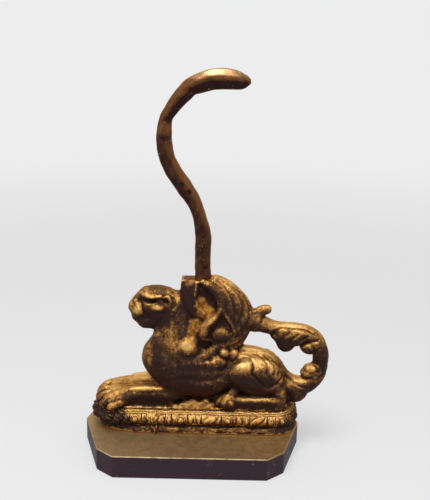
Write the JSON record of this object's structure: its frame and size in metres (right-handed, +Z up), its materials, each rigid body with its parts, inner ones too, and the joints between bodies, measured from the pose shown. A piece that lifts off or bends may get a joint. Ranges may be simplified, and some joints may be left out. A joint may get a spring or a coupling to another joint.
{
  "type": "doorstop",
  "caption": "Cast iron doorstop: a recumbent winged lion on a gadrooned cushion and a canted base block, with an S-shaped carrying rod that ends in a hook.",
  "frame": {"origin": "middle of the whole doorstop's bounding box in plan, at floor level", "axes": "+Z up along the carrying rod; the lion faces -X and its tail is at +X; Y runs across the base"},
  "size_m": [0.2574, 0.1574, 0.4003],
  "materials": {
    "base_casting": "blackened, worn olive-brown on its top",
    "plinth_casting": "dark patina with worn bronze highlights",
    "lion_casting": "dark patina with worn bronze highlights",
    "handle_rod": "dark brown, polished by handling",
    "plate_washer": "blackened",
    "square_nut": "blackened",
    "fixing_screw_left": "blackened",
    "fixing_screw_right": "blackened"
  },
  "bodies": {
    "root": {"base_casting": "base_casting", "plinth_casting": "plinth_casting", "lion_casting": "lion_casting", "handle_rod": "handle_rod", "plate_washer": "plate_washer", "square_nut": "square_nut", "fixing_screw_left": "fixing_screw_left", "fixing_screw_right": "fixing_screw_right"}
  },
  "joints": []
}
